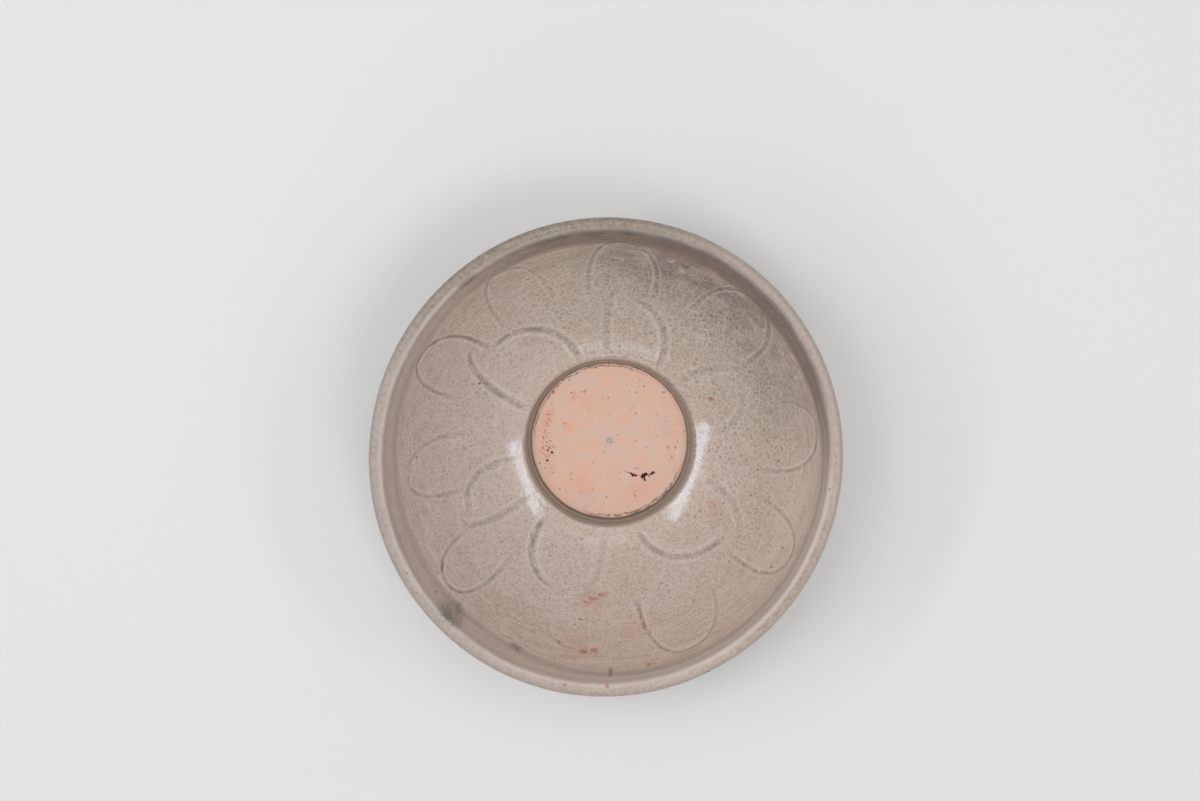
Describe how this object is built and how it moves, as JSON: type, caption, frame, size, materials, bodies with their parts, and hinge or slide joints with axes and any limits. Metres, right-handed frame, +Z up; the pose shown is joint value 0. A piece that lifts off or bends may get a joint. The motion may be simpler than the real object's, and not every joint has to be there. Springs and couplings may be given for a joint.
{
  "type": "porcelain bowl",
  "caption": "Wide rounded porcelain bowl on a turned foot, with an out-turned lip, carved lotus petals inside and a sunken unglazed well.",
  "frame": {"origin": "centre of the underside of the foot, which is the bottom centre of the bounding box", "axes": "+Z up out of the bowl's mouth; +Y is the side that is at the top of the picture, +X the side at its right"},
  "size_m": [0.1544, 0.1572, 0.058],
  "materials": {
    "biscuit_clay": "bare fired porcelain, matt, salmon buff",
    "poured_glaze": "glossy, finely crackled, warm grey with green where it pools",
    "dipped_glaze": "glossy, finely crackled, warm grey",
    "glaze_drop": "glossy grey"
  },
  "bodies": {
    "root": {"body": "biscuit_clay", "inner_glaze": "poured_glaze", "outer_glaze": "dipped_glaze", "glaze_drop": "glaze_drop"}
  },
  "joints": []
}
